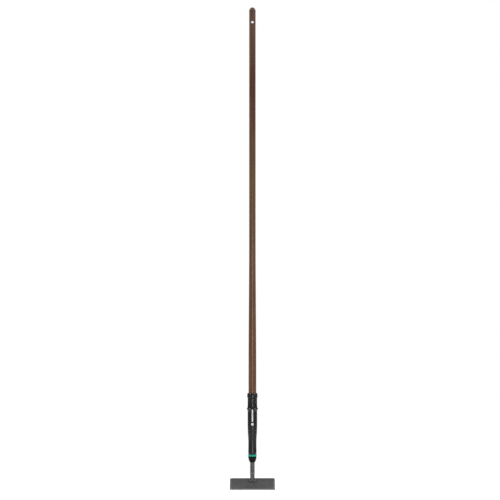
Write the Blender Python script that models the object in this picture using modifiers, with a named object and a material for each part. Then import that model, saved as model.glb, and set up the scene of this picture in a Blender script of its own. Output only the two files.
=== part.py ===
"""A long-handled garden hoe: a wooden shaft clamped in a plastic socket that holds a steel neck and blade.

Metres, +Z up. The origin is the centre of the hanging hole near the shaft's top end, and the blade hangs
below it. Heights in this file are measured up from a level just under the blade, and place() turns them
into the frame's Z. -Y is the side that the blade's ground face looks towards, where the user stands.
"""

import math

import bmesh
import bpy
from mathutils import Matrix, Vector

# --- driving dimensions ---------------------------------------------------------------------------

SHAFT_TOP = 1.7145
SHAFT_LENGTH = 1.500
HOLE_DROP = 0.0525
CUTTING_EDGE = 0.0084
BLADE_WIDTH = 0.160
BLADE_DEPTH = 0.0645
BLADE_TILT = math.radians(60.0)
BLADE_THICKNESS = 0.0025
NECK_RADIUS = 0.0080
NECK_BEND_RADIUS = 0.030

FIT_GAP = 0.0003
ROUND_STEPS = 32
MERGE = 0.00001

HOLE_HEIGHT = SHAFT_TOP - HOLE_DROP
SHAFT_END = SHAFT_TOP - SHAFT_LENGTH

# shaft
SHAFT_TOP_RADIUS = 0.0114
SHAFT_FOOT_RADIUS = 0.0137
SWELL_TOP = 0.900
SWELL_FOOT = 0.400
SHAFT_END_CHAMFER = 0.0014
HANG_HOLE_RADIUS = 0.0048
HANG_HOLE_COUNTERSINK = 0.0020

# clamp nut and what it squeezes
NUT_TOP = 0.3432
NUT_FOOT = 0.3270
NUT_RADIUS = 0.0189
NUT_LOBES = 6
NUT_BORE = 0.0165
CLAMP_BORE = SHAFT_FOOT_RADIUS + FIT_GAP
THREAD_PITCH = 0.003
THREAD_RADIUS = 0.0161
RIDGE_RADIUS = 0.0008
THREAD_POINTS_PER_TURN = 16

# socket
BARREL_RADIUS = 0.0167
BARREL_FLUTES = 12
SOCKET_MOUTH = 0.3377
SOCKET_SEAM = 0.2096
SOCKET_BORE = CLAMP_BORE
SPIGOT_RADIUS = 0.0124
SPIGOT_FOOT = 0.184

# plain light labels on the socket
LABEL_RADIUS = 0.01695
BAR_WIDTH = 0.0051
BAR_TOP = 0.2866
BAR_FOOT = 0.2428
DOT_RADIUS = 0.0048
DOT_HEIGHT = 0.2341

# tapered sleeve, ring, nose and the tang inside them
TANG_RADIUS = 0.0050
TANG_BORE = TANG_RADIUS + 0.0004
TANG_TOP = 0.211
SHOULDER = 0.150
SLEEVE_FOOT = 0.113
RING_SEAT_RADIUS = 0.0110
RING_RADIUS = 0.0154
RING_TOP = 0.1256
RING_FOOT = 0.1192
NOSE_FOOT = 0.0982
NOSE_GROOVE = {"foot": 0.1036, "top": 0.1062, "radius": 0.0104}
ROD_BORE = NECK_RADIUS + FIT_GAP
PIN_HEIGHT = 0.5 * (RING_TOP + RING_FOOT)
PIN_RADIUS = 0.0020

FINISHES = {
    "stained_wood": ((0.115, 0.047, 0.028, 1.0), 0.45, 0.0),
    "black_plastic": ((0.026, 0.026, 0.026, 1.0), 0.42, 0.0),
    "gloss_plastic": ((0.010, 0.011, 0.011, 1.0), 0.18, 0.0),
    "accent_plastic": ((0.012, 0.330, 0.235, 1.0), 0.35, 0.0),
    "light_plastic": ((0.800, 0.800, 0.780, 1.0), 0.45, 0.0),
    "rubber": ((0.012, 0.012, 0.012, 1.0), 0.75, 0.0),
    "grey_steel": ((0.090, 0.090, 0.090, 1.0), 0.48, 0.6),
    "zinc_steel": ((0.420, 0.420, 0.410, 1.0), 0.35, 1.0),
}


# --- helpers --------------------------------------------------------------------------------------


def clear_scene():
    for obj in list(bpy.data.objects):
        bpy.data.objects.remove(obj)


def new_collection(name, hidden=False):
    collection = bpy.data.collections.new(name)
    bpy.context.scene.collection.children.link(collection)
    collection.hide_render = hidden
    return collection


def new_empty(name, height, parent=None):
    """An empty on the shaft's axis, which the pieces that move together are attached to."""
    empty = bpy.data.objects.new(name, None)
    empty.location.z = place(height)
    empty.empty_display_size = 0.03
    PARTS.objects.link(empty)
    bpy.context.view_layer.update()
    if parent:
        attach(empty, parent)
    return empty


def attach(obj, parent):
    """Parents an object that is still placed in the frame to an upright empty, and leaves it where it is."""
    bpy.context.view_layer.update()
    obj.location -= parent.matrix_world.translation
    obj.parent = parent


def own_material(name, finish):
    colour, roughness, metallic = FINISHES[finish]
    made = bpy.data.materials.new(name)
    made.use_nodes = True
    shader = made.node_tree.nodes["Principled BSDF"]
    shader.inputs["Base Color"].default_value = colour
    shader.inputs["Roughness"].default_value = roughness
    shader.inputs["Metallic"].default_value = metallic
    return made


def place(height):
    """The frame's Z of a height in this file."""
    return height - HOLE_HEIGHT


def part(name, mesh, finish):
    obj = bpy.data.objects.new(name, mesh)
    PARTS.objects.link(obj)
    mesh.materials.append(own_material(name, finish))
    return obj


def set_origin(obj, point):
    """Moves the origin of an unrotated object, and leaves its surface where it is."""
    obj.data.transform(Matrix.Translation(obj.location - Vector(point)))
    obj.location = point
    return obj


def cutter(name, mesh):
    obj = bpy.data.objects.new(name, mesh)
    CUTTERS.objects.link(obj)
    obj.hide_render = True
    obj.display_type = "WIRE"
    return obj


def add_boolean(obj, other, operation="DIFFERENCE"):
    boolean = obj.modifiers.new(operation.lower() + "_" + other.name, "BOOLEAN")
    boolean.operation = operation
    boolean.object = other
    boolean.solver = "EXACT"


def add_bevel(obj, width, segments=2):
    bevel = obj.modifiers.new("edges", "BEVEL")
    bevel.width = width
    bevel.segments = segments
    bevel.limit_method = "ANGLE"


def arc(radius, height, bend, start, end, steps):
    """Profile points on a circle of radius bend about (radius, height), from start to end degrees."""
    angles = [math.radians(start + (end - start) * i / steps) for i in range(steps + 1)]
    return [(radius + bend * math.cos(a), height + bend * math.sin(a)) for a in angles]


def flowing(points, steps=3):
    """Profile points on a smooth Catmull-Rom curve through the points given."""
    ends = [points[0], *points, points[-1]]
    found = []
    for before, start, end, after in zip(ends, ends[1:], ends[2:], ends[3:]):
        for i in range(steps):
            found.append(tuple(catmull_rom(*four, i / steps) for four in zip(before, start, end, after)))
    return [*found, points[-1]]


def catmull_rom(a, b, c, d, t):
    linear, square, cube = c - a, 2 * a - 5 * b + 4 * c - d, 3 * b - a - 3 * c + d
    return 0.5 * (2 * b + linear * t + square * t**2 + cube * t**3)


def turned_mesh(name, profile, closed=True):
    """The outline at +X of (radius, height) points, with its lowest point at the mesh's origin."""
    mesh = bpy.data.meshes.new(name)
    count = len(profile)
    foot = lowest(profile)
    edges = [(i, i + 1) for i in range(count - 1)]
    if closed:
        edges.append((count - 1, 0))
    mesh.from_pydata([(radius, 0.0, height - foot) for radius, height in profile], edges, [])
    return mesh


def lowest(profile):
    return min(height for _, height in profile)


def add_screw(obj, steps=ROUND_STEPS):
    screw = obj.modifiers.new("turn", "SCREW")
    screw.axis = "Z"
    screw.angle = math.tau
    screw.steps = steps
    screw.render_steps = steps
    screw.use_merge_vertices = True
    screw.merge_threshold = MERGE
    screw.use_smooth_shade = True


def turned(name, profile, finish, closed=True):
    obj = part(name, turned_mesh(name, profile, closed), finish)
    obj.location.z = place(lowest(profile))
    add_screw(obj)
    return obj


def turned_cutter(name, profile, steps):
    obj = cutter(name, turned_mesh(name, profile, closed=False))
    obj.location.z = place(lowest(profile))
    add_screw(obj, steps)
    return obj


def mesh_from_curve(name, points, radius, resolution):
    """A round bar along the points, as a closed mesh with its caps welded."""
    curve = bpy.data.curves.new(name, "CURVE")
    curve.dimensions = "3D"
    curve.bevel_depth = radius
    curve.bevel_resolution = resolution
    curve.use_fill_caps = True
    spline = curve.splines.new("POLY")
    spline.points.add(len(points) - 1)
    for spot, point in zip(spline.points, points):
        spot.co = (*point, 1.0)
    guide = bpy.data.objects.new(name + "_path", curve)
    CUTTERS.objects.link(guide)
    bpy.context.view_layer.update()
    evaluated = guide.evaluated_get(bpy.context.evaluated_depsgraph_get())
    mesh = bpy.data.meshes.new_from_object(evaluated)
    mesh.name = name
    bpy.data.objects.remove(guide)
    bar = bmesh.new()
    bar.from_mesh(mesh)
    bmesh.ops.remove_doubles(bar, verts=bar.verts, dist=MERGE)
    bmesh.ops.recalc_face_normals(bar, faces=bar.faces)
    bar.to_mesh(mesh)
    bar.free()
    mesh.materials.clear()
    return mesh


def ring_of_scoops(name, count, first_angle, distance, size, height):
    """A cutter of ellipsoids with semi-axes size = (radial, sideways, up), spaced evenly round the axis."""
    scoops = bmesh.new()
    for i in range(count):
        turn = Matrix.Rotation(first_angle + math.tau * i / count, 4, "Z")
        shift = Matrix.Translation((distance, 0.0, place(height)))
        stretch = Matrix.Diagonal((*size, 1.0))
        bmesh.ops.create_uvsphere(
            scoops, u_segments=12, v_segments=10, radius=1.0, matrix=turn @ shift @ stretch
        )
    mesh = bpy.data.meshes.new(name)
    scoops.to_mesh(mesh)
    scoops.free()
    return cutter(name, mesh)


def helix(radius, foot, top):
    """Points up a right-handed thread of THREAD_PITCH that starts towards +X at the foot of the nut."""
    turns = (top - foot) / THREAD_PITCH
    count = math.ceil(turns * THREAD_POINTS_PER_TURN)
    points = []
    for i in range(count + 1):
        height = foot + i * THREAD_PITCH / THREAD_POINTS_PER_TURN
        angle = math.tau * (height - NUT_FOOT) / THREAD_PITCH
        points.append((radius * math.cos(angle), radius * math.sin(angle), place(height)))
    return points


# --- the wooden shaft -----------------------------------------------------------------------------


def make_shaft():
    """An even bar for its upper half, which swells gently towards the end held in the socket."""
    dome = arc(0.0, SHAFT_TOP - SHAFT_TOP_RADIUS, SHAFT_TOP_RADIUS, 90, 0, 7)
    near_hole, swell_steps = 0.024, 10
    profile = [(0.0, SHAFT_TOP), *dome[1:]]
    profile += [(SHAFT_TOP_RADIUS, HOLE_HEIGHT + near_hole), (SHAFT_TOP_RADIUS, HOLE_HEIGHT - near_hole)]
    for i in range(swell_steps + 1):
        share = i / swell_steps
        swell = share * share * (3 - 2 * share) * (SHAFT_FOOT_RADIUS - SHAFT_TOP_RADIUS)
        profile.append((SHAFT_TOP_RADIUS + swell, SWELL_TOP + share * (SWELL_FOOT - SWELL_TOP)))
    profile += [
        (SHAFT_FOOT_RADIUS, SHAFT_END + SHAFT_END_CHAMFER),
        (SHAFT_FOOT_RADIUS - SHAFT_END_CHAMFER, SHAFT_END),
        (0.0, SHAFT_END),
    ]
    shaft = turned("wooden_shaft", profile, "stained_wood", closed=False)
    add_boolean(shaft, make_hang_hole())


def make_hang_hole():
    """A through hole along Y with a countersink at each face."""
    reach = SHAFT_TOP_RADIUS + 0.004
    sink = SHAFT_TOP_RADIUS - HANG_HOLE_COUNTERSINK
    flare = HANG_HOLE_RADIUS + reach - sink
    profile = [(0.0, reach), (flare, reach), (HANG_HOLE_RADIUS, sink)]
    profile += [(HANG_HOLE_RADIUS, -sink), (flare, -reach), (0.0, -reach)]
    cut = turned_cutter("hang_hole_cut", profile, 24)
    cut.location = (0.0, reach, 0.0)
    cut.rotation_euler.x = math.radians(90)
    return cut


# --- the clamp: nut, wiper, slip washer and split ring --------------------------------------------


def make_clamp_nut():
    lip_foot = NUT_TOP - 0.0028
    wiper_seat = NUT_TOP - 0.0014
    barrel = [(0.0161, NUT_TOP), (0.0165, 0.3430), (0.0179, 0.3410), (0.0184, 0.3388), (0.0187, 0.3355)]
    barrel += [(NUT_RADIUS, 0.3318), (0.0187, 0.3293), (0.0180, 0.3276), (0.0171, NUT_FOOT)]
    profile = [
        (0.0158, NUT_TOP),
        *flowing(barrel, 2),
        (NUT_BORE + 0.0005, NUT_FOOT),
        (NUT_BORE, NUT_FOOT + 0.0005),
        (NUT_BORE, lip_foot),
        (CLAMP_BORE + 0.0003, lip_foot),
        (CLAMP_BORE + 0.0003, wiper_seat),
        (0.0158, wiper_seat),
    ]
    nut = turned("clamp_nut", profile, "black_plastic")
    size = (0.0060, 0.0062, 0.0084)
    add_boolean(nut, ring_of_scoops("finger_scoops", NUT_LOBES, 0.0, 0.0237, size, 0.3350))
    turns = helix(THREAD_RADIUS + 0.0001, NUT_FOOT - 0.002, 0.3352)
    groove = mesh_from_curve("nut_thread_cut", turns, RIDGE_RADIUS + 0.00035, 1)
    add_boolean(nut, cutter("nut_thread_cut", groove))
    return nut


def make_wiper_ring():
    foot, lip, outer = NUT_TOP - 0.0011, NUT_TOP + 0.0005, 0.0155
    profile = [
        (CLAMP_BORE + 0.0003, lip),
        (0.0149, lip - 0.0002),
        (outer, NUT_TOP - 0.0003),
        (outer, foot),
        (CLAMP_BORE, foot),
        (CLAMP_BORE, lip - 0.0003),
    ]
    return turned("wiper_ring", profile, "rubber")


def make_slip_washer():
    foot, top, outer = 0.3392, 0.3401, 0.0160
    profile = [(CLAMP_BORE, top), (outer, top), (outer, foot), (CLAMP_BORE, foot)]
    return turned("slip_washer", profile, "zinc_steel")


RING_CONE = {"foot": 0.3292, "top": 0.3389, "foot_radius": 0.0144, "top_radius": 0.0150}


def cone_radius(height):
    share = (height - RING_CONE["foot"]) / (RING_CONE["top"] - RING_CONE["foot"])
    return RING_CONE["foot_radius"] + share * (RING_CONE["top_radius"] - RING_CONE["foot_radius"])


def make_clamp_ring():
    foot, top = RING_CONE["foot"], RING_CONE["top"]
    profile = [(CLAMP_BORE, top), (cone_radius(top), top), (cone_radius(foot), foot), (CLAMP_BORE, foot)]
    ring = turned("clamp_ring", profile, "black_plastic")
    slit = bmesh.new()
    size = Matrix.Diagonal((0.0024, 0.010, 0.030, 1.0))
    bmesh.ops.create_cube(slit, size=1.0, matrix=Matrix.Translation((0.0, -0.0145, place(0.339))) @ size)
    mesh = bpy.data.meshes.new("clamp_ring_slit")
    slit.to_mesh(mesh)
    slit.free()
    add_boolean(ring, cutter("clamp_ring_slit", mesh))
    return ring


# --- the socket -----------------------------------------------------------------------------------


def make_socket_body():
    flange = [(BARREL_RADIUS, 0.3060), (0.0169, 0.2990), (0.0173, 0.2940), (0.0178, 0.2914), (0.0189, 0.2901)]
    flange += [(0.0196, 0.2892), (0.0197, 0.2884)]
    under = [(0.0194, 0.2868), (0.0186, 0.2851), (0.0176, 0.2824), (0.0169, 0.2792), (0.0168, 0.2740)]
    foot = [(0.0168, 0.2320), (0.01665, 0.2250), (0.0165, 0.2160), (0.0164, 0.2101)]
    well_radius, well_floor, shaft_stop = 0.0105, 0.196, 0.2135
    ledge = RING_CONE["foot"] - FIT_GAP
    profile = [
        (cone_radius(SOCKET_MOUTH) + FIT_GAP, SOCKET_MOUTH),
        (0.0157, SOCKET_MOUTH),
        (THREAD_RADIUS, SOCKET_MOUTH - 0.0004),
        (THREAD_RADIUS, 0.3262),
        (BARREL_RADIUS - 0.0003, 0.3262),
        (BARREL_RADIUS, 0.3259),
        *flowing(flange, 2),
        *flowing(under, 2),
        *foot,
        (0.0160, SOCKET_SEAM),
        (SPIGOT_RADIUS, SOCKET_SEAM),
        (SPIGOT_RADIUS, SPIGOT_FOOT + 0.0006),
        (SPIGOT_RADIUS - 0.0006, SPIGOT_FOOT),
        (TANG_BORE, SPIGOT_FOOT),
        (TANG_BORE, well_floor),
        (well_radius, well_floor),
        (well_radius, shaft_stop),
        (SOCKET_BORE, shaft_stop),
        (SOCKET_BORE, ledge),
        (RING_CONE["foot_radius"] + FIT_GAP, ledge),
    ]
    body = turned("socket_body", profile, "black_plastic")
    first = math.radians(-90 + 180 / BARREL_FLUTES)
    size = (0.0023, 0.0022, 0.0136)
    add_boolean(body, ring_of_scoops("barrel_flutes", BARREL_FLUTES, first, 0.0176, size, 0.3118))
    ridge = mesh_from_curve("socket_thread", helix(THREAD_RADIUS, 0.3290, 0.3340), RIDGE_RADIUS, 1)
    add_boolean(body, cutter("socket_thread", ridge), "UNION")
    make_labels(body)
    return body


def make_labels(body):
    """A plain light bar and a plain light disc, each in a flat-floored pocket in the socket's front."""
    middle = 0.5 * (BAR_TOP + BAR_FOOT)
    bar_size = (0.5 * BAR_WIDTH, 0.5 * (BAR_TOP - BAR_FOOT))
    make_label("label_bar", body, bar_size, middle, 0.0160)
    make_label("label_dot", body, (DOT_RADIUS, DOT_RADIUS), DOT_HEIGHT, 0.0152)


def make_label(name, body, half_size, middle, floor):
    """A label with a curved front. Its pocket's floor is the distance floor in front of the axis."""
    pocket = label_block(name + "_pocket", [half + FIT_GAP for half in half_size], middle, floor)
    add_boolean(body, cutter(name + "_pocket", pocket))
    label = part(name, label_block(name, half_size, middle, floor + FIT_GAP), "light_plastic")
    set_origin(label, (0.0, -floor - FIT_GAP, place(middle)))
    reach = max(half_size) + 0.004
    top, foot = middle + reach, middle - reach
    profile = [(0.0, top), (LABEL_RADIUS, top), (LABEL_RADIUS, foot), (0.0, foot)]
    add_boolean(label, turned_cutter(name + "_skin", profile, 72), "INTERSECT")
    attach(label, HEAD)


def label_block(name, half_size, middle, floor):
    """A prism along Y, with a pill-shaped outline that is a circle when its two half sizes are equal."""
    half_width, half_height = half_size
    straight = half_height - half_width
    depth = 0.006
    block = bmesh.new()
    spot = Matrix.Translation((0.0, -floor - 0.5 * depth, place(middle)))
    turn = Matrix.Rotation(math.radians(90), 4, "X")
    bmesh.ops.create_cone(
        block,
        cap_ends=True,
        segments=24,
        radius1=half_width,
        radius2=half_width,
        depth=depth,
        matrix=spot @ turn,
    )
    for vert in block.verts:
        vert.co.z += math.copysign(straight, vert.co.z - place(middle) + 1e-6)
    mesh = bpy.data.meshes.new(name)
    block.to_mesh(mesh)
    block.free()
    return mesh


def make_pin_hole(name):
    hole = bmesh.new()
    turn = Matrix.Rotation(math.radians(90), 4, "Y")
    bmesh.ops.create_cone(
        hole,
        cap_ends=True,
        segments=20,
        radius1=PIN_RADIUS + FIT_GAP,
        radius2=PIN_RADIUS + FIT_GAP,
        depth=0.040,
        matrix=Matrix.Translation((0.0, 0.0, place(PIN_HEIGHT))) @ turn,
    )
    mesh = bpy.data.meshes.new(name)
    hole.to_mesh(mesh)
    hole.free()
    return cutter(name, mesh)


def make_tapered_sleeve():
    seat = SPIGOT_RADIUS + FIT_GAP
    taper = [(0.0162, 0.2086), (0.0160, 0.2030), (0.0155, 0.1962), (0.0150, 0.1880), (0.0145, 0.1790)]
    taper += [(0.0143, 0.1700), (0.0143, 0.1560), (0.0145, 0.1430), (0.0147, 0.1355), (0.0146, 0.1300)]
    taper += [(0.0143, 0.1268)]
    profile = [
        (seat, SOCKET_SEAM - FIT_GAP),
        (0.0159, SOCKET_SEAM - FIT_GAP),
        *taper,
        (0.0139, RING_TOP + FIT_GAP),
        (RING_SEAT_RADIUS, RING_TOP + FIT_GAP),
        (RING_SEAT_RADIUS, SLEEVE_FOOT + 0.0005),
        (RING_SEAT_RADIUS - 0.0005, SLEEVE_FOOT),
        (ROD_BORE, SLEEVE_FOOT),
        (ROD_BORE, SHOULDER + FIT_GAP),
        (TANG_BORE, SHOULDER + FIT_GAP),
        (TANG_BORE, SPIGOT_FOOT - FIT_GAP),
        (seat, SPIGOT_FOOT - FIT_GAP),
    ]
    sleeve = turned("tapered_sleeve", profile, "black_plastic")
    add_boolean(sleeve, make_pin_hole("sleeve_pin_hole"))
    return sleeve


def make_accent_ring():
    """A bulging band, proud of the sleeve above it and of the nose below it."""
    inner, bulge, reach, steps = RING_SEAT_RADIUS + FIT_GAP, 0.0013, 0.5 * (RING_TOP - RING_FOOT), 4
    profile = [(inner, RING_TOP)]
    for i in range(-steps, steps + 1):
        share = i / steps
        profile.append((RING_RADIUS - bulge * share**2, PIN_HEIGHT - reach * share))
    return turned("accent_ring", [*profile, (inner, RING_FOOT)], "accent_plastic")


def make_nose_cap():
    top = RING_FOOT - FIT_GAP
    pocket = RING_SEAT_RADIUS + FIT_GAP
    dome = [(0.0147, 0.1166), (0.0146, 0.1142), (0.0142, 0.1109), (0.0134, 0.1073)]
    dome += [(0.0123, 0.1038), (0.0107, 0.1003)]
    profile = [
        (pocket, top),
        (0.0143, top),
        *flowing(dome, 2),
        (0.0093, NOSE_FOOT),
        (ROD_BORE, NOSE_FOOT),
        (ROD_BORE, NOSE_GROOVE["foot"]),
        (NOSE_GROOVE["radius"], NOSE_GROOVE["foot"]),
        (NOSE_GROOVE["radius"], NOSE_GROOVE["top"]),
        (ROD_BORE, NOSE_GROOVE["top"]),
        (ROD_BORE, SLEEVE_FOOT - FIT_GAP),
        (pocket, SLEEVE_FOOT - FIT_GAP),
    ]
    return turned("nose_cap", profile, "gloss_plastic")


def make_nose_seal():
    middle = 0.5 * (NOSE_GROOVE["foot"] + NOSE_GROOVE["top"])
    section = arc(ROD_BORE + 0.00095, middle, 0.00095, 90, -270, 8)[:-1]
    return turned("nose_seal", section, "rubber")


# --- the tang's fastenings ------------------------------------------------------------------------


def make_tang_pin():
    length = 2 * RING_SEAT_RADIUS - 0.0006
    bpy.ops.mesh.primitive_cylinder_add(vertices=20, radius=PIN_RADIUS, depth=length)
    pin = bpy.context.object
    pin.location.z = place(PIN_HEIGHT)
    pin.rotation_euler.y = math.radians(90)
    adopt(pin, "tang_pin", "zinc_steel")
    add_bevel(pin, 0.0003, 1)
    return pin


def adopt(obj, name, finish):
    """Names a new primitive, gives it its finish and moves it to the parts' collection."""
    obj.name = name
    obj.data.materials.append(own_material(name, finish))
    for collection in list(obj.users_collection):
        collection.objects.unlink(obj)
    PARTS.objects.link(obj)


def make_tang_washer():
    foot, top, outer = 0.1963, 0.1981, 0.0096
    profile = [(TANG_BORE, top), (outer, top), (outer, foot), (TANG_BORE, foot)]
    return turned("tang_washer", profile, "zinc_steel")


def make_tang_nut():
    foot, top = 0.1984, 0.2064
    across_flats = 0.017
    corner = across_flats / math.sqrt(3)
    bpy.ops.mesh.primitive_cylinder_add(vertices=6, radius=corner, depth=top - foot)
    nut = bpy.context.object
    nut.location.z = place(0.5 * (foot + top))
    adopt(nut, "tang_nut", "zinc_steel")
    bore = bmesh.new()
    bmesh.ops.create_cone(bore, cap_ends=True, segments=24, radius1=TANG_BORE, radius2=TANG_BORE, depth=0.02)
    mesh = bpy.data.meshes.new("tang_nut_bore")
    bore.to_mesh(mesh)
    bore.free()
    hole = cutter("tang_nut_bore", mesh)
    hole.location.z = nut.location.z
    add_bevel(nut, 0.0005, 1)
    add_boolean(nut, hole)
    return nut


# --- the steel neck and blade ---------------------------------------------------------------------

DOWN_BLADE = Vector((0.0, -math.sin(BLADE_TILT), -math.cos(BLADE_TILT)))
BLADE_NORMAL = Vector((0.0, -math.cos(BLADE_TILT), math.sin(BLADE_TILT)))
BLADE_RISE = BLADE_DEPTH * math.cos(BLADE_TILT) + BLADE_THICKNESS * math.sin(BLADE_TILT)
BLADE_TOP_HEIGHT = CUTTING_EDGE + BLADE_RISE
BEND_END_HEIGHT = BLADE_TOP_HEIGHT + ROD_BORE * math.sin(BLADE_TILT)
BEND_START_HEIGHT = BEND_END_HEIGHT + NECK_BEND_RADIUS * math.sin(BLADE_TILT)
BEND_END = Vector((0.0, -NECK_BEND_RADIUS * (1 - math.cos(BLADE_TILT)), place(BEND_END_HEIGHT)))
FOOT_LENGTH = 0.019


def neck_path():
    """Down from the shoulder, round the bend towards -Y, and along the blade's ground face."""
    points = [Vector((0.0, 0.0, place(SHOULDER))), Vector((0.0, 0.0, place(0.110)))]
    steps = 9
    for i in range(steps + 1):
        turn = BLADE_TILT * i / steps
        sideways = -NECK_BEND_RADIUS * (1 - math.cos(turn))
        points.append(Vector((0.0, sideways, place(BEND_START_HEIGHT - NECK_BEND_RADIUS * math.sin(turn)))))
    points.append(BEND_END + DOWN_BLADE * FOOT_LENGTH)
    return points


def make_neck():
    neck = part("steel_neck", mesh_from_curve("steel_neck", neck_path(), NECK_RADIUS, 8), "grey_steel")
    set_origin(neck, (0.0, 0.0, place(SHOULDER)))
    tang = [
        (0.0, TANG_TOP),
        (TANG_RADIUS - 0.0008, TANG_TOP),
        (TANG_RADIUS, TANG_TOP - 0.0010),
        (TANG_RADIUS, SHOULDER - 0.010),
        (0.0, SHOULDER - 0.010),
    ]
    add_boolean(neck, turned_cutter("tang_core", tang, 24), "UNION")
    add_boolean(neck, make_pin_hole("neck_pin_hole"))
    return neck


def blade_top():
    """The middle of the blade's top edge, on its ground face."""
    return BEND_END - BLADE_NORMAL * ROD_BORE


def make_blade():
    """A plate whose face towards -Y is ground to a thin edge along the foot and both ends."""
    edge_thickness, grind, end_grind, flare = 0.0005, 0.0062, 0.0056, 0.0004
    plate = bmesh.new()
    size = Matrix.Diagonal((BLADE_WIDTH, edge_thickness, BLADE_DEPTH, 1.0))
    middle = Matrix.Translation((0.0, BLADE_THICKNESS - 0.5 * edge_thickness, -0.5 * BLADE_DEPTH))
    bmesh.ops.create_cube(plate, size=1.0, matrix=middle @ size)
    for vert in plate.verts:
        if vert.co.z > -0.5 * BLADE_DEPTH:
            vert.co.x -= math.copysign(flare, vert.co.x)
    plate.faces.ensure_lookup_table()
    face = min(plate.faces, key=lambda f: f.calc_center_median().y)
    raised = bmesh.ops.extrude_face_region(plate, geom=[face])["geom"]
    for vert in (v for v in raised if isinstance(v, bmesh.types.BMVert)):
        vert.co.y = 0.0
        vert.co.x -= math.copysign(end_grind, vert.co.x)
        if vert.co.z < -0.5 * BLADE_DEPTH:
            vert.co.z += grind
    bmesh.ops.delete(plate, geom=[face], context="FACES_ONLY")
    bmesh.ops.recalc_face_normals(plate, faces=plate.faces)
    mesh = bpy.data.meshes.new("blade")
    plate.to_mesh(mesh)
    plate.free()
    blade = part("blade", mesh, "grey_steel")
    blade.location = blade_top()
    blade.rotation_euler.x = -BLADE_TILT
    return blade


def make_weld():
    """A fillet bead round the neck's foot, in the corner with the blade and open towards the blade's top."""
    bead = 0.0028
    lift = bead + FIT_GAP
    side = math.sqrt((NECK_RADIUS + lift) ** 2 - (ROD_BORE - lift) ** 2)
    corner = arc(side - lift, FOOT_LENGTH, lift, 0, 90, 3)
    outline = [(side, 0.0065), *corner]
    outline += [(-x, down) for x, down in reversed(outline)]
    start = blade_top() + BLADE_NORMAL * lift
    points = [start + Vector((x, 0.0, 0.0)) + DOWN_BLADE * down for x, down in outline]
    weld = part("weld_bead", mesh_from_curve("weld_bead", points, bead, 2), "grey_steel")
    return set_origin(weld, blade_top())


clear_scene()
PARTS = new_collection("garden_hoe")
CUTTERS = new_collection("cutters", hidden=True)

HEAD = new_empty("head", SHAFT_END)
CLAMP = new_empty("clamp", NUT_FOOT, HEAD)

make_shaft()

for make in (make_clamp_nut, make_wiper_ring, make_slip_washer):
    attach(make(), CLAMP)

for make in (
    make_clamp_ring,
    make_socket_body,
    make_tapered_sleeve,
    make_accent_ring,
    make_nose_cap,
    make_nose_seal,
    make_tang_pin,
    make_tang_washer,
    make_tang_nut,
    make_neck,
    make_blade,
    make_weld,
):
    attach(make(), HEAD)
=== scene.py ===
"""A garden hoe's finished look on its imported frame: surfaces, procedural materials and a stage."""

import math

import bmesh
import bpy
import numpy as np
from mathutils import Matrix, Vector


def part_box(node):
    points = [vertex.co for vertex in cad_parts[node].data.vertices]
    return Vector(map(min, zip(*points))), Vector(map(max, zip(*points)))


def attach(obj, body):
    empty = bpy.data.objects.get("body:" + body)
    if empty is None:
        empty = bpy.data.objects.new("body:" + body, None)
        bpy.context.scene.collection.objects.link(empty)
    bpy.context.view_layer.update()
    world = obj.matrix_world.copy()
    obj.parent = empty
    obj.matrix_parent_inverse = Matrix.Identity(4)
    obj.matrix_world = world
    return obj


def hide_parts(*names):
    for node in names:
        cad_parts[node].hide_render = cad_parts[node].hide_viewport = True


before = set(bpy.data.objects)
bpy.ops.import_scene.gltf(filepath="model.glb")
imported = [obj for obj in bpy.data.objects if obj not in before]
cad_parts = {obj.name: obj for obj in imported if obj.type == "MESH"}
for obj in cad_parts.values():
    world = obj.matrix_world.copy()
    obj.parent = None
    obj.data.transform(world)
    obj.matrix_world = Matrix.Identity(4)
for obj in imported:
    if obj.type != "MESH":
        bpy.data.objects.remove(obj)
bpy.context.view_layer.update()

# --- dimensions, in metres ------------------------------------------------------------------------

# How far the CAD's zero height, just under the blade, lies below the frame's origin.
DATUM_DROP = 1.662


def height_span(node):
    low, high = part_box(node)
    return low[2], high[2]


def widest(node):
    """The node's reach from the tool's axis."""
    low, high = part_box(node)
    return max(high[0], -low[0])


def at(height):
    """The frame's z of a height above the CAD's zero."""
    return height - DATUM_DROP


def placed(profile):
    """The (radius, height) points of a profile with their heights turned into the frame's z."""
    return [(radius, at(height)) for radius, height in profile]


SHAFT_FOOT, SHAFT_TOP = height_span("wooden_shaft")
NUT_FOOT, NUT_TOP = height_span("clamp_nut")
SOCKET_FOOT, SOCKET_TOP = height_span("socket_body")
SLEEVE_FOOT, SLEEVE_TOP = height_span("tapered_sleeve")
RING_FOOT, RING_TOP = height_span("accent_ring")
NOSE_FOOT, NOSE_TOP = height_span("nose_cap")
BLADE_FOOT, BLADE_TOP = height_span("blade")

SHAFT_RADIUS = widest("wooden_shaft")
SHAFT_TIP_RADIUS = 0.0114
NUT_RADIUS = widest("clamp_nut")
TANG_HOLE = 0.0054

NECK_RADIUS = 0.0080
NECK_BEND_RADIUS = 0.030
NECK_FOOT_LENGTH = 0.019

BLADE_WIDTH = 2 * widest("blade")
BLADE_DEPTH = 0.0645
BLADE_THICKNESS = 0.0025
BLADE_TILT = math.radians(60)
DOWN_BLADE = Vector((0, -math.sin(BLADE_TILT), -math.cos(BLADE_TILT)))
BLADE_NORMAL = Vector((0, -math.cos(BLADE_TILT), math.sin(BLADE_TILT)))
BLADE_TOP_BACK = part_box("blade")[1][1]
BLADE_TOP_MIDDLE = Vector((0, BLADE_TOP_BACK - BLADE_THICKNESS * math.cos(BLADE_TILT), BLADE_TOP))


# --- shape helpers --------------------------------------------------------------------------------

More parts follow.
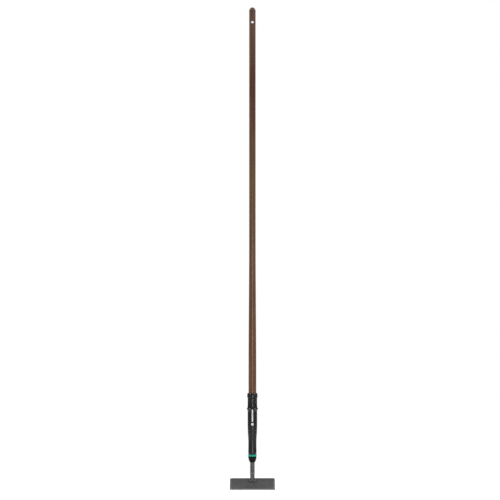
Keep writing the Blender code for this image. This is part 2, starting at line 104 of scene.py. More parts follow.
# The most of an edge that the rounding at one of its ends may take up.
ROUNDING_SHARE = 0.49
MERGE_DISTANCE = 1e-7
SHARP_ANGLE = math.radians(40)
CUT_SHARP_ANGLE = math.radians(38)
# How steeply a scoop's surface goes on outwards past its rim.
SCOOP_RISE = 4


def fillet(corners, steps=5):
    """A closed outline from (r, z, radius) corners, each rounded over the reach of its radius."""
    points = []
    for i, (r, z, radius) in enumerate(corners):
        here = Vector((r, z))
        before = Vector(corners[i - 1][:2]) - here
        after = Vector(corners[(i + 1) % len(corners)][:2]) - here
        reach = radius / math.tan(before.angle(after) / 2)
        reach = min(reach, ROUNDING_SHARE * before.length, ROUNDING_SHARE * after.length)
        start, end = here + before.normalized() * reach, here + after.normalized() * reach
        for step in range(steps + 1):
            t = step / steps
            points.append((1 - t) ** 2 * start + 2 * t * (1 - t) * here + t * t * end)
    return points


def finer(points, limit, closed=True):
    """The same outline with its long stretches divided, so that no step is above the limit."""
    found = []
    ends = list(points[1:]) + ([points[0]] if closed else [])
    for start, end in zip(points, ends):
        pieces = max(1, math.ceil((Vector(end) - Vector(start)).length / limit))
        found += [Vector(start).lerp(Vector(end), i / pieces) for i in range(pieces)]
    return found if closed else [*found, Vector(points[-1])]


def smooth_curve(points, steps=6):
    """Points on a Catmull-Rom curve through the points given."""
    points = [Vector(p) for p in points]
    ends = [2 * points[0] - points[1], *points, 2 * points[-1] - points[-2]]
    found = []
    for four in zip(ends, ends[1:], ends[2:], ends[3:]):
        found += [catmull_rom(*four, step / steps) for step in range(steps)]
    return [*found, points[-1]]


def catmull_rom(a, b, c, d, t):
    linear, square, cube = c - a, 2 * a - 5 * b + 4 * c - d, 3 * b - a - 3 * c + d
    return 0.5 * (2 * b + linear * t + square * t**2 + cube * t**3)


def grid_object(name, rows, wrap_rows, cap_ends=False):
    """A mesh from rows of points. Each row is a ring; wrap_rows joins the last row to the first."""
    count, around = len(rows), len(rows[0])
    verts = [tuple(p) for row in rows for p in row]
    faces = []
    for i in range(count if wrap_rows else count - 1):
        a, b = i * around, ((i + 1) % count) * around
        for j in range(around):
            beside = (j + 1) % around
            faces.append((a + j, a + beside, b + beside, b + j))
    if cap_ends:
        faces += [tuple(range(around)), tuple(range((count - 1) * around, count * around))]
    mesh = bpy.data.meshes.new(name)
    mesh.from_pydata(verts, [], faces)
    solid = bmesh.new()
    solid.from_mesh(mesh)
    bmesh.ops.remove_doubles(solid, verts=solid.verts, dist=MERGE_DISTANCE)
    bmesh.ops.recalc_face_normals(solid, faces=solid.faces)
    solid.to_mesh(mesh)
    solid.free()
    mesh.shade_smooth()
    mesh.set_sharp_from_angle(angle=SHARP_ANGLE)
    obj = bpy.data.objects.new(name, mesh)
    bpy.context.scene.collection.objects.link(obj)
    return obj


def revolve(name, outline, around=96, shape=None, closed=True):
    """A turned body. Its outline is a closed loop, or else it runs from the axis to the axis.

    shape(radius, z, angle) takes arrays, and gives the radius that takes the place of the first.
    """
    angles = np.arange(around) * math.tau / around
    rows = []
    for r, z in outline:
        radius, height = np.full(around, r), np.full(around, z)
        if shape:
            radius = shape(radius, height, angles)
        ring = [radius * np.cos(angles), radius * np.sin(angles), height]
        rows.append(np.stack(ring, axis=1))
    return grid_object(name, rows, wrap_rows=closed)


def sweep(name, path, radii, around):
    """A round bar along the path, with a radius for each point and flat ends."""
    rows = []
    side = Vector((1, 0, 0))
    turns = [j * math.tau / around for j in range(around)]
    for i, point in enumerate(path):
        ahead = (path[min(i + 1, len(path) - 1)] - path[max(i - 1, 0)]).normalized()
        side = (side - side.dot(ahead) * ahead).normalized()
        other = ahead.cross(side)
        spokes = [math.cos(t) * side + math.sin(t) * other for t in turns]
        rows.append([point + radii[i] * spoke for spoke in spokes])
    return grid_object(name, rows, wrap_rows=False, cap_ends=True)


def cut_away(obj, cut):
    """Takes cut's shape out of obj for good, and removes cut."""
    modifier = obj.modifiers.new("cut", "BOOLEAN")
    modifier.operation = "DIFFERENCE"
    modifier.object = cut
    modifier.solver = "EXACT"
    bpy.context.view_layer.update()
    evaluated = obj.evaluated_get(bpy.context.evaluated_depsgraph_get())
    mesh = bpy.data.meshes.new_from_object(evaluated)
    obj.modifiers.clear()
    obj.data = mesh
    mesh.shade_smooth()
    mesh.set_sharp_from_angle(angle=CUT_SHARP_ANGLE)
    bpy.data.objects.remove(cut)


def soft_min(a, b, blend):
    """The smaller of two arrays, with the corner between them rounded over the blend distance."""
    share = np.clip(0.5 + 0.5 * (b - a) / blend, 0, 1)
    return b * (1 - share) + a * share - blend * share * (1 - share)


def scoops(radius, z, angle, count, first, distance, size, middle, blend):
    """The radius that count ellipsoids leave, all at one distance from the axis.

    first is the angle of one of them, middle the z of all, and size their (across, up) semi-axes.
    """
    period = math.tau / count
    offset = (angle - first + period / 2) % period - period / 2
    up = np.clip(1 - ((z - middle) / size[1]) ** 2, 0, None)
    reach = size[0] ** 2 * up - (distance * np.sin(offset)) ** 2
    within_rim = distance * np.cos(offset) - np.sqrt(np.clip(reach, 0, None))
    past_rim = distance * np.cos(offset) + SCOOP_RISE * np.sqrt(np.clip(-reach, 0, None))
    return soft_min(radius, np.where(reach > 0, within_rim, past_rim), blend)


# --- material helpers -----------------------------------------------------------------------------

# A mix node has sockets for all its data types: these are the factor and the two colours.
MIX_INPUTS = (0, 6, 7)
MIX_OUTPUT = 2


class Finish:
    """A node material under construction, in metres of the frame's own space."""

    def __init__(self, name):
        self.material = bpy.data.materials.new(name)
        self.material.use_nodes = True
        self.nodes = self.material.node_tree.nodes
        self.links = self.material.node_tree.links
        self.shader = self.nodes["Principled BSDF"]
        self.where = self.nodes.new("ShaderNodeTexCoord").outputs["Object"]

    def link(self, source, target):
        self.links.new(source, target)

    def assign(self, socket, value):
        """Links an output to the socket, or gives it a constant colour or number."""
        if isinstance(value, bpy.types.NodeSocket):
            self.link(value, socket)
        elif isinstance(value, tuple):
            socket.default_value = (*value, 1)
        else:
            socket.default_value = value

    def stretched(self, scale, turn):
        mapping = self.nodes.new("ShaderNodeMapping")
        mapping.inputs["Scale"].default_value = scale
        mapping.inputs["Rotation"].default_value = turn
        self.link(self.where, mapping.inputs["Vector"])
        return mapping.outputs["Vector"]

    def noise(self, scale, detail=4, roughness=0.55, distortion=0.0, turn=(0, 0, 0)):
        """Noise with its own scale along x, y and z, in cells to the metre."""
        node = self.nodes.new("ShaderNodeTexNoise")
        node.inputs["Scale"].default_value = 1.0
        node.inputs["Detail"].default_value = detail
        node.inputs["Roughness"].default_value = roughness
        node.inputs["Distortion"].default_value = distortion
        self.link(self.stretched(scale, turn), node.inputs["Vector"])
        return node.outputs["Fac"]

    def ramp(self, source, stops):
        """Maps a value to colours or greys, from (position, value) stops."""
        node = self.nodes.new("ShaderNodeValToRGB")
        elements = node.color_ramp.elements
        while len(elements) < len(stops):
            elements.new(0.5)
        for element, (position, value) in zip(elements, stops):
            element.position = position
            element.color = (*value, 1) if isinstance(value, tuple) else (value, value, value, 1)
        self.link(source, node.inputs["Fac"])
        return node.outputs["Color"]

    def along_axis(self, stops):
        """Maps the height along the tool to colours, from (z in metres, colour) stops."""
        foot, reach = stops[0][0], stops[-1][0] - stops[0][0]
        apart = self.nodes.new("ShaderNodeSeparateXYZ")
        self.link(self.where, apart.inputs["Vector"])
        spread = self.nodes.new("ShaderNodeMapRange")
        spread.inputs["From Min"].default_value = foot
        spread.inputs["From Max"].default_value = stops[-1][0]
        self.link(apart.outputs["Z"], spread.inputs["Value"])
        shares = [((z - foot) / reach, colour) for z, colour in stops]
        return self.ramp(spread.outputs["Result"], shares)

    def mix(self, share, a, b, blend="MIX"):
        """Mixes two colours; share, a and b are each an output or a constant."""
        node = self.nodes.new("ShaderNodeMix")
        node.data_type = "RGBA"
        node.blend_type = blend
        for index, value in zip(MIX_INPUTS, (share, a, b)):
            self.assign(node.inputs[index], value)
        return node.outputs[MIX_OUTPUT]

    def set(self, **values):
        """Sets inputs of the shader, each named like base_color, to outputs or constants."""
        for name, value in values.items():
            title = name.replace("_", " ").title().replace("Ior", "IOR")
            self.assign(self.shader.inputs[title], value)

    def bump(self, *layers):
        """Stacks (height source, distance in metres, strength) layers into the shader's normal."""
        below = None
        for source, distance, strength in layers:
            node = self.nodes.new("ShaderNodeBump")
            node.inputs["Distance"].default_value = distance
            node.inputs["Strength"].default_value = strength
            self.link(source, node.inputs["Height"])
            if below:
                self.link(below, node.inputs["Normal"])
            below = node.outputs["Normal"]
        self.link(below, self.shader.inputs["Normal"])


def grey(value):
    return (value, value, value)


def lighter(tone, gain, lift):
    return tuple(min(1, channel * gain + lift) for channel in tone)


def stained_wood():
    """Figure, fibres and pores that run along the shaft, under a tone that darkens and lightens with
    height.
    """
    finish = Finish("stained_wood")
    figure = finish.noise((95, 95, 2.6), detail=3, distortion=0.6)
    fibres = finish.noise((900, 900, 14), detail=5, roughness=0.65)
    pores = finish.noise((2300, 2300, 60), detail=2)
    cloud = finish.noise((30, 30, 5), detail=2)
    grain = [
        (0.30, (0.115, 0.050, 0.030)),
        (0.52, (0.168, 0.078, 0.048)),
        (0.72, (0.227, 0.114, 0.074)),
    ]
    # Colour factors listed by height, which darken and lighten the wood up and down the shaft.
    height_tone = [
        (-1.35, (0.72, 0.70, 0.73)),
        (-1.10, (0.73, 0.77, 0.73)),
        (-0.85, (0.80, 0.89, 0.85)),
        (-0.55, (0.78, 0.92, 0.71)),
        (-0.42, (0.74, 0.79, 0.71)),
        (-0.30, (0.65, 0.54, 0.59)),
        (-0.20, (0.70, 0.57, 0.62)),
        (-0.10, (0.74, 0.85, 0.87)),
        (0.00, (0.73, 0.88, 0.98)),
        (0.030, (0.67, 0.82, 0.92)),
        (0.054, (0.44, 0.58, 0.69)),
    ]
    base = finish.ramp(figure, grain)
    streaks = finish.ramp(fibres, [(0.32, 0.62), (0.55, 1.0), (0.75, 1.22)])
    dark_pores = finish.ramp(pores, [(0.30, 0.45), (0.42, 1.0)])
    drift = finish.ramp(cloud, [(0.3, 0.88), (0.7, 1.10)])
    colour = finish.mix(1.0, base, streaks, "MULTIPLY")
    colour = finish.mix(0.75, colour, dark_pores, "MULTIPLY")
    colour = finish.mix(1.0, colour, drift, "MULTIPLY")
    colour = finish.mix(1.0, colour, finish.along_axis(height_tone), "MULTIPLY")
    finish.set(base_color=colour, roughness=finish.ramp(fibres, [(0.3, 0.38), (0.7, 0.26)]))
    finish.set(specular_ior_level=0.48, specular_tint=(1.0, 0.70, 0.47))
    finish.set(coat_weight=0.04, coat_roughness=0.25)
    finish.bump((fibres, 0.00012, 0.35), (pores, 0.00008, 0.35))
    return finish.material


def moulded_plastic(name, tone, roughness, grain=0.5, gloss_marks=0.06, sheen=0.5):
    """Fine-grained plastic. Handling leaves lighter patches on it, and fine scuffs lighter ones."""
    finish = Finish(name)
    sparks = finish.noise((2600, 2600, 2600), detail=2)
    handling = finish.noise((60, 60, 35), detail=5, roughness=0.6)
    scuffs = finish.noise((1400, 1400, 90), detail=3, turn=(0.2, 0.1, 0.3))
    handled, scuffed = lighter(tone, 1.55, 0.002), lighter(tone, 2, 0.01)
    colour = finish.mix(finish.ramp(handling, [(0.42, 0.0), (0.75, 0.55)]), tone, handled)
    colour = finish.mix(finish.ramp(scuffs, [(0.66, 0.0), (0.74, 0.35)]), colour, scuffed)
    finish.set(base_color=colour, specular_ior_level=sheen)
    smooth, rough = roughness - gloss_marks, roughness + gloss_marks
    finish.set(roughness=finish.ramp(handling, [(0.3, smooth), (0.7, rough)]))
    finish.bump((sparks, 0.00006, grain), (scuffs, 0.00003, 0.2))
    return finish.material


def coated_steel(name, tone):
    """A thin satin coat, from the grey tone to a little above it, with lighter rubs and specks."""
    rub, speck = grey(0.13), grey(0.17)
    finish = Finish(name)
    peel = finish.noise((900, 900, 900), detail=2)
    cloud = finish.noise((45, 45, 45), detail=5, roughness=0.6)
    specks = finish.noise((3200, 3200, 3200), detail=1)
    rubs = finish.noise((70, 420, 420), detail=4, turn=(0.35, 0.0, 0.12))
    colour = finish.ramp(cloud, [(0.30, tone), (0.70, 1.28 * tone)])
    colour = finish.mix(finish.ramp(rubs, [(0.58, 0.0), (0.78, 0.4)]), colour, rub)
    colour = finish.mix(finish.ramp(specks, [(0.70, 0.0), (0.76, 0.4)]), colour, speck)
    finish.set(base_color=colour, metallic=0.35)
    finish.set(roughness=finish.ramp(cloud, [(0.3, 0.42), (0.7, 0.55)]))
    finish.bump((peel, 0.0001, 0.35), (rubs, 0.00005, 0.25))
    return finish.material


def ground_steel():
    """Bare steel with the marks of a grinding wheel."""
    finish = Finish("ground_steel")
    wheel = finish.noise((2600, 60, 60), detail=3, turn=(0.0, 0.0, 0.06))
    cloud = finish.noise((80, 80, 80), detail=4)
    colour = finish.ramp(wheel, [(0.25, grey(0.120)), (0.75, (0.200, 0.200, 0.198))])
    finish.set(base_color=colour, metallic=0.7)
    finish.set(roughness=finish.ramp(cloud, [(0.3, 0.34), (0.7, 0.48)]))
    finish.bump((wheel, 0.00006, 0.4))
    return finish.material


def zinc_steel():
    """Zinc plating with a cloudy bloom."""
    finish = Finish("zinc_steel")
    bloom = finish.noise((260, 260, 260), detail=4)
    fine = finish.noise((1800, 1800, 1800), detail=2)
    colour = finish.ramp(bloom, [(0.3, (0.38, 0.38, 0.36)), (0.7, (0.55, 0.55, 0.53))])
    finish.set(base_color=colour, metallic=1.0)
    finish.set(roughness=finish.ramp(bloom, [(0.3, 0.28), (0.7, 0.46)]))
    finish.bump((fine, 0.00004, 0.3))
    return finish.material


WOOD = stained_wood()
BLACK = moulded_plastic("black_plastic", grey(0.006), 0.28, sheen=0.34)
GLOSS_BLACK = moulded_plastic(
    "gloss_black_plastic", grey(0.002), 0.16, grain=0.12, gloss_marks=0.04, sheen=0.1
)
TEAL = moulded_plastic("accent_plastic", (0.002, 0.305, 0.200), 0.30, grain=0.2, sheen=0.2)
LIGHT = moulded_plastic("light_plastic", (0.56, 0.56, 0.547), 0.42, grain=0.3)
RUBBER = moulded_plastic("rubber", grey(0.010), 0.68, grain=0.8)
COATED = coated_steel("coated_steel", 0.067)
# A lighter copy of the same coat, for the weld and the neck's cut end: painted light on faces that
# lie in shade.
LIT_COATED = coated_steel("lit_coated_steel", 0.115)
GROUND = ground_steel()
ZINC = zinc_steel()


# --- the pieces -----------------------------------------------------------------------------------


def finish_piece(obj, body, slot, materials, *nodes):
    """Gives a surface its materials and its body, and hides the CAD nodes that it stands for. The
    slot is not used.
    """
    for material in materials:
        obj.data.materials.append(material)
    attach(obj, body)
    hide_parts(*nodes)
    return obj


def make_shaft():
    """Turned wood: a domed top, a slow swell towards the foot, and a cross hole."""
    dome_steps, close_step, wide_step, chamfer = 14, 0.0014, 0.02, 0.0014
    swell_top, swell_foot = at(0.900), at(0.400)
    outline = []
    for i in range(dome_steps + 1):
        turn = math.radians(90 * i / dome_steps)
        drop = SHAFT_TIP_RADIUS * (1 - math.cos(turn))
        outline.append((SHAFT_TIP_RADIUS * math.sin(turn), SHAFT_TOP - drop))
    beside_hole = [0.028 - close_step * i for i in range(41)]
    below_hole = [-0.0325 - wide_step * i for i in range(1, 70)]
    for z in [*beside_hole, *[z for z in below_hole if z > SHAFT_FOOT + wide_step / 2]]:
        share = min(max((swell_top - z) / (swell_top - swell_foot), 0), 1)
        swell = share * share * (3 - 2 * share) * (SHAFT_RADIUS - SHAFT_TIP_RADIUS)
        outline.append((SHAFT_TIP_RADIUS + swell, z))
    outline += [(SHAFT_RADIUS, SHAFT_FOOT + chamfer), (SHAFT_RADIUS - chamfer, SHAFT_FOOT)]
    outline.append((0.0, SHAFT_FOOT))
    shaft = revolve("shaft_surface", outline, closed=False)
    cut_away(shaft, hang_hole_cut())
    finish_piece(shaft, "shaft", "stained_wood", [WOOD], "wooden_shaft")


def hang_hole_cut():
    """A cutter along y, which opens like a bell at both of the shaft's sides to soften the rims."""
    hole, beyond = 0.0048, 0.020
    rim = SHAFT_TIP_RADIUS - 0.0018
    bell = [(hole, rim - 0.0006), (hole + 0.0004, rim + 0.0002), (hole + 0.0014, rim + 0.0011)]
    bell += [(hole + 0.0098, beyond), (0.0, beyond)]
    other_bell = [(radius, -along) for radius, along in reversed(bell)]
    cut = revolve("hang_hole_cut", other_bell + bell, 64, closed=False)
    cut.rotation_euler.x = math.radians(90)
    return cut


def make_nut():
    """Six soft lobes, parted by deep finger scoops, and a lip over the wiper ring."""
    bore, mouth, edge, bore_edge = 0.0165, 0.0158, 0.0003, 0.0004
    lip, step = NUT_TOP - 0.0028, 0.0006
    barrel = placed([(0.0165, 0.3430), (0.0179, 0.3410), (0.0184, 0.3388), (0.0187, 0.3355)])
    barrel += placed([(NUT_RADIUS, 0.3318), (0.0187, 0.3293), (0.0180, 0.3276)])
    barrel += [(0.0172, NUT_FOOT + 0.0001), (bore + bore_edge, NUT_FOOT)]
    curve = smooth_curve([(mouth + edge, NUT_TOP), *barrel], 5)
    outline = [(mouth, NUT_TOP - edge), *curve]
    outline += [(bore, NUT_FOOT + bore_edge), (bore, lip), (mouth, lip)]
    outline = finer(outline, step)

    def lobes(radius, z, angle):
        scooped = scoops(
            radius, z, angle, count=6, first=0.0, distance=0.0238, size=(0.0066, 0.0096),
            middle=0.5 * (NUT_FOOT + NUT_TOP), blend=0.0008,
        )
        outside = radius > bore + 0.0006
        return np.where(outside, scooped, radius)

    nut = revolve("clamp_nut_surface", outline, 180, lobes)
    finish_piece(nut, "clamp", "black_plastic", [BLACK], "clamp_nut")


def make_wiper():
    """A rubber ring with a chamfered lip, in the nut's mouth."""
    foot, lip = height_span("wiper_ring")
    inner, outer = SHAFT_RADIUS + 0.00005, 0.0156
    corners = [(inner, lip, 0.0002), (0.0149, lip, 0.0004), (outer, lip - 0.0010, 0.0003)]
    corners += [(outer, foot, 0.0002), (inner, foot, 0.0002)]
    wiper = revolve("wiper_ring_surface", fillet(corners))
    finish_piece(wiper, "clamp", "rubber", [RUBBER], "wiper_ring")


def make_socket():
    """Fluted barrel, flared flange, and a plain cylinder down to the seam."""
    barrel, bore = 0.0167, 0.0140
    spigot, nut_pocket = 0.0124, 0.0105
    seam = SOCKET_FOOT + 0.0255
    flange = [(barrel, 0.3060), (0.0169, 0.2990), (0.0173, 0.2940), (0.0178, 0.2914)]
    flange += [(0.0189, 0.2901), (0.0196, 0.2892), (0.0197, 0.2884)]
    under = [(0.0194, 0.2868), (0.0186, 0.2851), (0.0176, 0.2824), (0.0169, 0.2792)]
    foot = [(0.0168, 0.2740), (0.0168, 0.2320), (0.01665, 0.2250), (0.0165, 0.2160)]
    outline = [(0.0152, SOCKET_TOP), (0.0157, SOCKET_TOP), (0.0161, SOCKET_TOP - 0.0004)]
    outline += placed([(0.0161, 0.3263), (barrel - 0.0004, 0.3262)])
    outline += placed([(barrel - 0.0001, 0.3259), (barrel, 0.3256)])
    outline += finer(placed([(barrel, 0.3254), (barrel, 0.3062)]), limit=0.0007, closed=False)
    outline += smooth_curve(placed([*flange, *under, *foot]))
    outline += [(0.0164, seam + 0.0010), (0.0162, seam + 0.0003), (0.0158, seam)]
    outline += [(spigot, seam), (spigot, SOCKET_FOOT), (TANG_HOLE, SOCKET_FOOT)]
    outline += placed([(TANG_HOLE, 0.196), (nut_pocket, 0.196), (nut_pocket, 0.2135)])
    outline += placed([(bore, 0.2135), (bore, 0.3289), (0.0147, 0.3289)])

    def flutes(radius, z, angle):
        cut = scoops(
            radius, z, angle, count=12, first=math.radians(-90 + 15), distance=0.0176,
            size=(0.0025, 0.0136), middle=at(0.3118), blend=0.0004,
        )
        on_barrel = (radius > 0.0162) & (z > at(0.297)) & (z < at(0.3259))
        fluted = np.where(on_barrel, cut, radius)
        # The flange's underside stays clear of the light bar's upper end.
        over_bar = np.abs(angle - math.radians(270)) < math.radians(10)
        over_bar &= (z < at(0.2869)) & (z > at(0.27))
        return np.where(over_bar, np.minimum(fluted, 0.0168), fluted)

    socket = revolve("socket_surface", outline, 288, flutes)
    finish_piece(socket, "head", "black_plastic", [BLACK], "socket_body")


def make_sleeve():
    """A waisted tube, with the socket's spigot in its top and its own spigot in the nose cap."""
    mouth, spigot, neck_hole = 0.0128, 0.0110, 0.0083
    taper = [(0.0162, 0.2086), (0.0160, 0.2030), (0.0155, 0.1962), (0.0150, 0.1880)]
    taper += [(0.0145, 0.1790), (0.0143, 0.1700), (0.0143, 0.1560), (0.0145, 0.1430)]
    taper += [(0.0147, 0.1355), (0.0146, 0.1300), (0.0143, 0.1266)]
    outline = [(mouth, SLEEVE_TOP), (0.0157, SLEEVE_TOP), (0.0161, SLEEVE_TOP - 0.0003)]
    outline += smooth_curve(placed(taper))
    outline += [(0.0138, RING_TOP + 0.0003), (spigot, RING_TOP + 0.0002)]
    outline += [(spigot, SLEEVE_FOOT), (neck_hole, SLEEVE_FOOT)]
    outline += placed([(neck_hole, 0.1503), (TANG_HOLE, 0.1503), (TANG_HOLE, 0.1837)])
    outline += placed([(mouth, 0.1837)])
    sleeve = revolve("sleeve_surface", outline)
    finish_piece(sleeve, "head", "black_plastic", [BLACK], "tapered_sleeve")


def make_accent_ring():
    """A bulging band, proud of the sleeve above it and of the nose below it."""
    inner, edge, outer, steps = 0.0112, 0.0141, widest("accent_ring"), 12
    middle, reach = 0.5 * (RING_TOP + RING_FOOT), 0.5 * (RING_TOP - RING_FOOT)
    bulge = []
    for i in range(-steps, steps + 1):
        share = i / steps
        edge_round = 0.0004 if abs(i) == steps else 0.0
        bulge.append((outer - (outer - edge) * share**2 - edge_round, middle - reach * share))
    ring = revolve("accent_ring_surface", [(inner, RING_TOP), *bulge, (inner, RING_FOOT)])
    finish_piece(ring, "head", "accent_plastic", [TEAL], "accent_ring")


def make_nose():
    """A hollow dome that the neck comes out of."""
    inner, neck_hole = 0.0113, 0.0081
    dome = [(0.0147, 0.1166), (0.0146, 0.1142), (0.0142, 0.1109), (0.0134, 0.1073)]
    dome += [(0.0123, 0.1038), (0.0107, 0.1003), (0.0095, 0.0986)]
    outline = [(inner, NOSE_TOP), (0.0144, NOSE_TOP), *smooth_curve(placed(dome))]
    outline += [(0.0088, NOSE_FOOT), (neck_hole, NOSE_FOOT + 0.0003)]
    outline += placed([(neck_hole, 0.1127), (inner, 0.1127)])
    nose = revolve("nose_cap_surface", outline)
    finish_piece(nose, "head", "gloss_black_plastic", [GLOSS_BLACK], "nose_cap")


def make_neck():
    """A bent round bar whose foot lies on the blade, with its cut end chamfered."""
    gap, straight_step, bend_steps = 0.0001, 0.004, 24
    bend_end = BLADE_TOP_MIDDLE + BLADE_NORMAL * (NECK_RADIUS + gap)
    bend_z = bend_end.z + NECK_BEND_RADIUS * math.sin(BLADE_TILT)
    centre = Vector((0, -NECK_BEND_RADIUS, bend_z))
    path = [Vector((0, 0, at(0.150) - straight_step * i)) for i in range(19)]
    path = [p for p in path if p.z > centre.z + straight_step / 2]
    for i in range(bend_steps + 1):
        turn = BLADE_TILT * i / bend_steps
        path.append(centre + NECK_BEND_RADIUS * Vector((0, math.cos(turn), -math.sin(turn))))
    for share in (0.1, 0.3, 0.6, 0.9, 0.96, 0.985, 1.0):
        path.append(bend_end + DOWN_BLADE * NECK_FOOT_LENGTH * share)
    # The last two rings are the chamfer.
    radii = [NECK_RADIUS] * len(path)
    radii[-2:] = [NECK_RADIUS - 0.0002, NECK_RADIUS - 0.0007]
    neck = sweep("neck_surface", path, radii, 64)
    finish_piece(neck, "head", "grey_steel", [COATED, LIT_COATED], "steel_neck")
    # The cut end gets the lighter copy of the coat: painted light on a face that lies in shade.
    for face in neck.data.polygons:
        is_cut_end = face.normal.dot(DOWN_BLADE) > 0.9
        if is_cut_end:
            face.material_index = 1


def make_blade():
    """A plate with rounded lower corners, ground along its foot and both ends."""
    half, corner, edge = BLADE_WIDTH / 2, 0.0022, 0.0005
    grind, end_grind, ground_corner, flare = 0.0064, 0.0056, 0.0012, 0.0004
    corner_steps = 8

    def loop(side, foot, radius, top, y):
        """The plate's outline at one depth: half of it, from the top downwards, and its mirror."""
        points = [(side - flare, top)]
        for i in range(corner_steps + 1):
            turn = math.radians(90 * i / corner_steps)
            across, down = radius * (1 - math.cos(turn)), radius * (1 - math.sin(turn))
            points.append((side - across, foot + down))
        points += [(-x, z) for x, z in reversed(points)]
        return [(x, y, z) for x, z in points]

    back, top, foot = BLADE_THICKNESS, 0.0, -BLADE_DEPTH
    rows = [
        # The back's rounded rim.
        loop(half - 0.0003, foot + 0.0003, corner, top - 0.0003, back),
        loop(half, foot, corner, top, back - 0.0002),
        # The sharp edge, and the softened line where the ground strips reach the front.
        loop(half, foot, corner, top, back - edge),
        loop(half - end_grind + 0.0002, foot + grind - 0.0002, ground_corner, top, 0.0001),
        loop(half - end_grind, foot + grind, ground_corner, top - 0.0002, 0.0),
    ]
    blade = grid_object("blade_surface", rows, wrap_rows=False, cap_ends=True)
    tilt = Matrix.Rotation(-BLADE_TILT, 4, "X")
    blade.data.transform(Matrix.Translation(BLADE_TOP_MIDDLE) @ tilt)
    finish_piece(blade, "head", "grey_steel", [COATED, GROUND], "blade")
    for face in blade.data.polygons:
        is_ground = 0.3 < face.normal.dot(BLADE_NORMAL) < 0.985
        if is_ground:
            face.material_index = 1


def make_weld():
    """A rippled bead round the neck's foot, sunk into both of the surfaces that it joins."""
    bead, lift, corner, corner_steps = 0.0029, 0.0024, 0.0031, 12
    first_down, side_step, side_count = 0.0058, 0.0004, 29
    ripple_length, taper_length = 0.0021, 0.004
    slow_wave, quick_wave = 610, 1130
    from_neck = NECK_RADIUS + bead * 0.75
    side = math.sqrt(from_neck**2 - (NECK_RADIUS - lift) ** 2)

    # Down one side of the neck's foot, round a corner and to the middle; then all of it mirrored.
    outline = [(side, first_down + side_step * i) for i in range(side_count)]
    centre_x, centre_down = side - corner, outline[-1][1] + 0.0002
    for i in range(1, corner_steps + 1):
        turn = math.radians(90 * i / corner_steps)
        across, down = corner * math.cos(turn), corner * math.sin(turn)
        outline.append((centre_x + across, centre_down + down))
    last_x, last_down = outline[-1]
    outline += [(x, last_down) for x in np.linspace(last_x, 0, 16)[1:]]
    outline += [(-x, down) for x, down in reversed(outline[:-1])]

    start = BLADE_TOP_MIDDLE + BLADE_NORMAL * lift
    path = [start + Vector((x, 0, 0)) + DOWN_BLADE * down for x, down in outline]
    length = sum((after - before).length for before, after in zip(path, path[1:]))
    run, radii = 0.0, []
    for i, point in enumerate(path):
        run += (point - path[i - 1]).length if i else 0.0
        ripple = 0.10 * math.sin(math.pi * ((run / ripple_length) % 1.0)) ** 0.6
        swell = 0.10 * math.sin(run * slow_wave) + 0.06 * math.sin(run * quick_wave + 1)
        from_end = max(0.0, min(run, length - run))
        taper = 0.5 + 0.5 * math.sqrt(min(1.0, from_end / taper_length))
        radii.append(bead * taper * (0.93 + ripple + 0.35 * swell))
    weld = sweep("weld_surface", path, radii, 20)
    # The bead gets the lighter copy of the coat: painted light on it, in the shade round the neck's
    # foot.
    finish_piece(weld, "head", "grey_steel", [LIT_COATED], "weld_bead")


def dress_kept_nodes():
    """Gives the hidden and the small CAD nodes their materials."""
    kept = {
        "slip_washer": ZINC,
        "tang_pin": ZINC,
        "tang_washer": ZINC,
        "tang_nut": ZINC,
        "clamp_ring": BLACK,
        "nose_seal": RUBBER,
        "label_bar": LIGHT,
        "label_dot": LIGHT,
    }
    for node, material in kept.items():
        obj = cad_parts[node]
        obj.data.materials.clear()
        obj.data.materials.append(material)


make_shaft()
make_nut()
make_wiper()
make_socket()
make_sleeve()
make_accent_ring()
make_nose()
make_neck()
make_blade()
make_weld()
dress_kept_nodes()


# --- stage, light and camera ----------------------------------------------------------------------

WHITE = (1, 1, 1, 1)
FLOOR_RADIUS = 2.6
FLOOR_DROP = 0.30
LIGHT_TARGET = (0, 0, -1.0)
SENSOR_MILLIMETRES = 36
CAMERA_DISTANCE = 6.0
# The width of the picture at the tool's distance.
METRES_ACROSS = 1.7775


def make_stage():
    """A pale round floor below the blade, which glows enough to pass for a white ground."""
    pale = bpy.data.materials.new("pale_floor")
    pale.use_nodes = True
    shader = pale.node_tree.nodes["Principled BSDF"]
    shader.inputs["Base Color"].default_value = (0.86, 0.86, 0.86, 1)
    shader.inputs["Roughness"].default_value = 0.9
    shader.inputs["Emission Color"].default_value = WHITE
    shader.inputs["Emission Strength"].default_value = 0.62
    disc = bmesh.new()
    bmesh.ops.create_circle(disc, cap_ends=True, segments=96, radius=FLOOR_RADIUS)
    mesh = bpy.data.meshes.new("floor")
    disc.to_mesh(mesh)
    disc.free()
    mesh.materials.append(pale)
    floor = bpy.data.objects.new("floor", mesh)
    floor.location.z = BLADE_FOOT - FLOOR_DROP
    bpy.context.scene.collection.objects.link(floor)


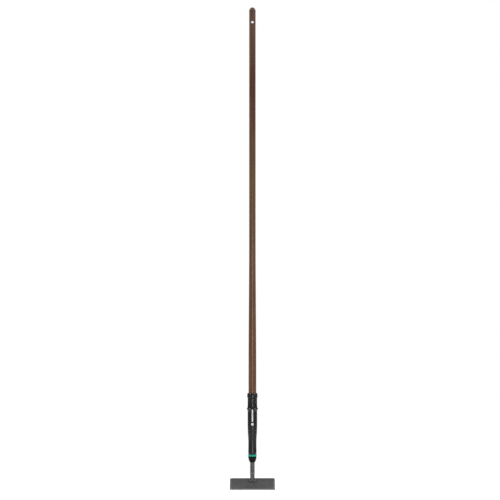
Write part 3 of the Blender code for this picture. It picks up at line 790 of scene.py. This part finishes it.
def add_softbox(name, location, size, power):
    light = bpy.data.lights.new(name, "AREA")
    light.shape = "RECTANGLE"
    light.size, light.size_y = size
    light.energy = power
    lamp = bpy.data.objects.new(name, light)
    lamp.location = location
    to_target = Vector(LIGHT_TARGET) - Vector(location)
    lamp.rotation_euler = to_target.to_track_quat("-Z", "Y").to_euler()
    lamp.visible_camera = False
    bpy.context.scene.collection.objects.link(lamp)


def make_light():
    """Three softboxes in a dim white room, which the camera itself sees as plain white."""
    world = bpy.data.worlds.new("studio")
    world.use_nodes = True
    nodes, links = world.node_tree.nodes, world.node_tree.links
    room = nodes["Background"]
    room.inputs["Color"].default_value = WHITE
    room.inputs["Strength"].default_value = 0.30
    backdrop = nodes.new("ShaderNodeBackground")
    backdrop.inputs["Color"].default_value = WHITE
    backdrop.inputs["Strength"].default_value = 1.0
    seen = nodes.new("ShaderNodeLightPath").outputs["Is Camera Ray"]
    either = nodes.new("ShaderNodeMixShader")
    factor, unless_seen, if_seen = either.inputs
    links.new(seen, factor)
    links.new(room.outputs["Background"], unless_seen)
    links.new(backdrop.outputs["Background"], if_seen)
    links.new(either.outputs["Shader"], nodes["World Output"].inputs["Surface"])
    bpy.context.scene.world = world
    bpy.context.scene.view_settings.view_transform = "Standard"
    bpy.context.scene.view_settings.look = "None"
    add_softbox("front_softbox", (1.0, -6.8, -1.55), (0.7, 1.4), 115)
    add_softbox("left_top_softbox", (-2.8, -0.2, 2.4), (1.4, 1.4), 115)
    add_softbox("right_top_softbox", (2.8, -0.2, 2.4), (1.4, 1.4), 115)


def make_camera():
    """Level with the middle of the tool, and straight in front of it."""
    data = bpy.data.cameras.new("camera")
    data.sensor_width = SENSOR_MILLIMETRES
    data.lens = SENSOR_MILLIMETRES * CAMERA_DISTANCE / METRES_ACROSS
    data.clip_end = 100
    camera = bpy.data.objects.new("camera", data)
    camera.location = (-0.0085, -CAMERA_DISTANCE, -0.8099)
    camera.rotation_euler = (math.radians(90), 0, 0)
    bpy.context.scene.collection.objects.link(camera)
    bpy.context.scene.camera = camera


make_stage()
make_light()
make_camera()
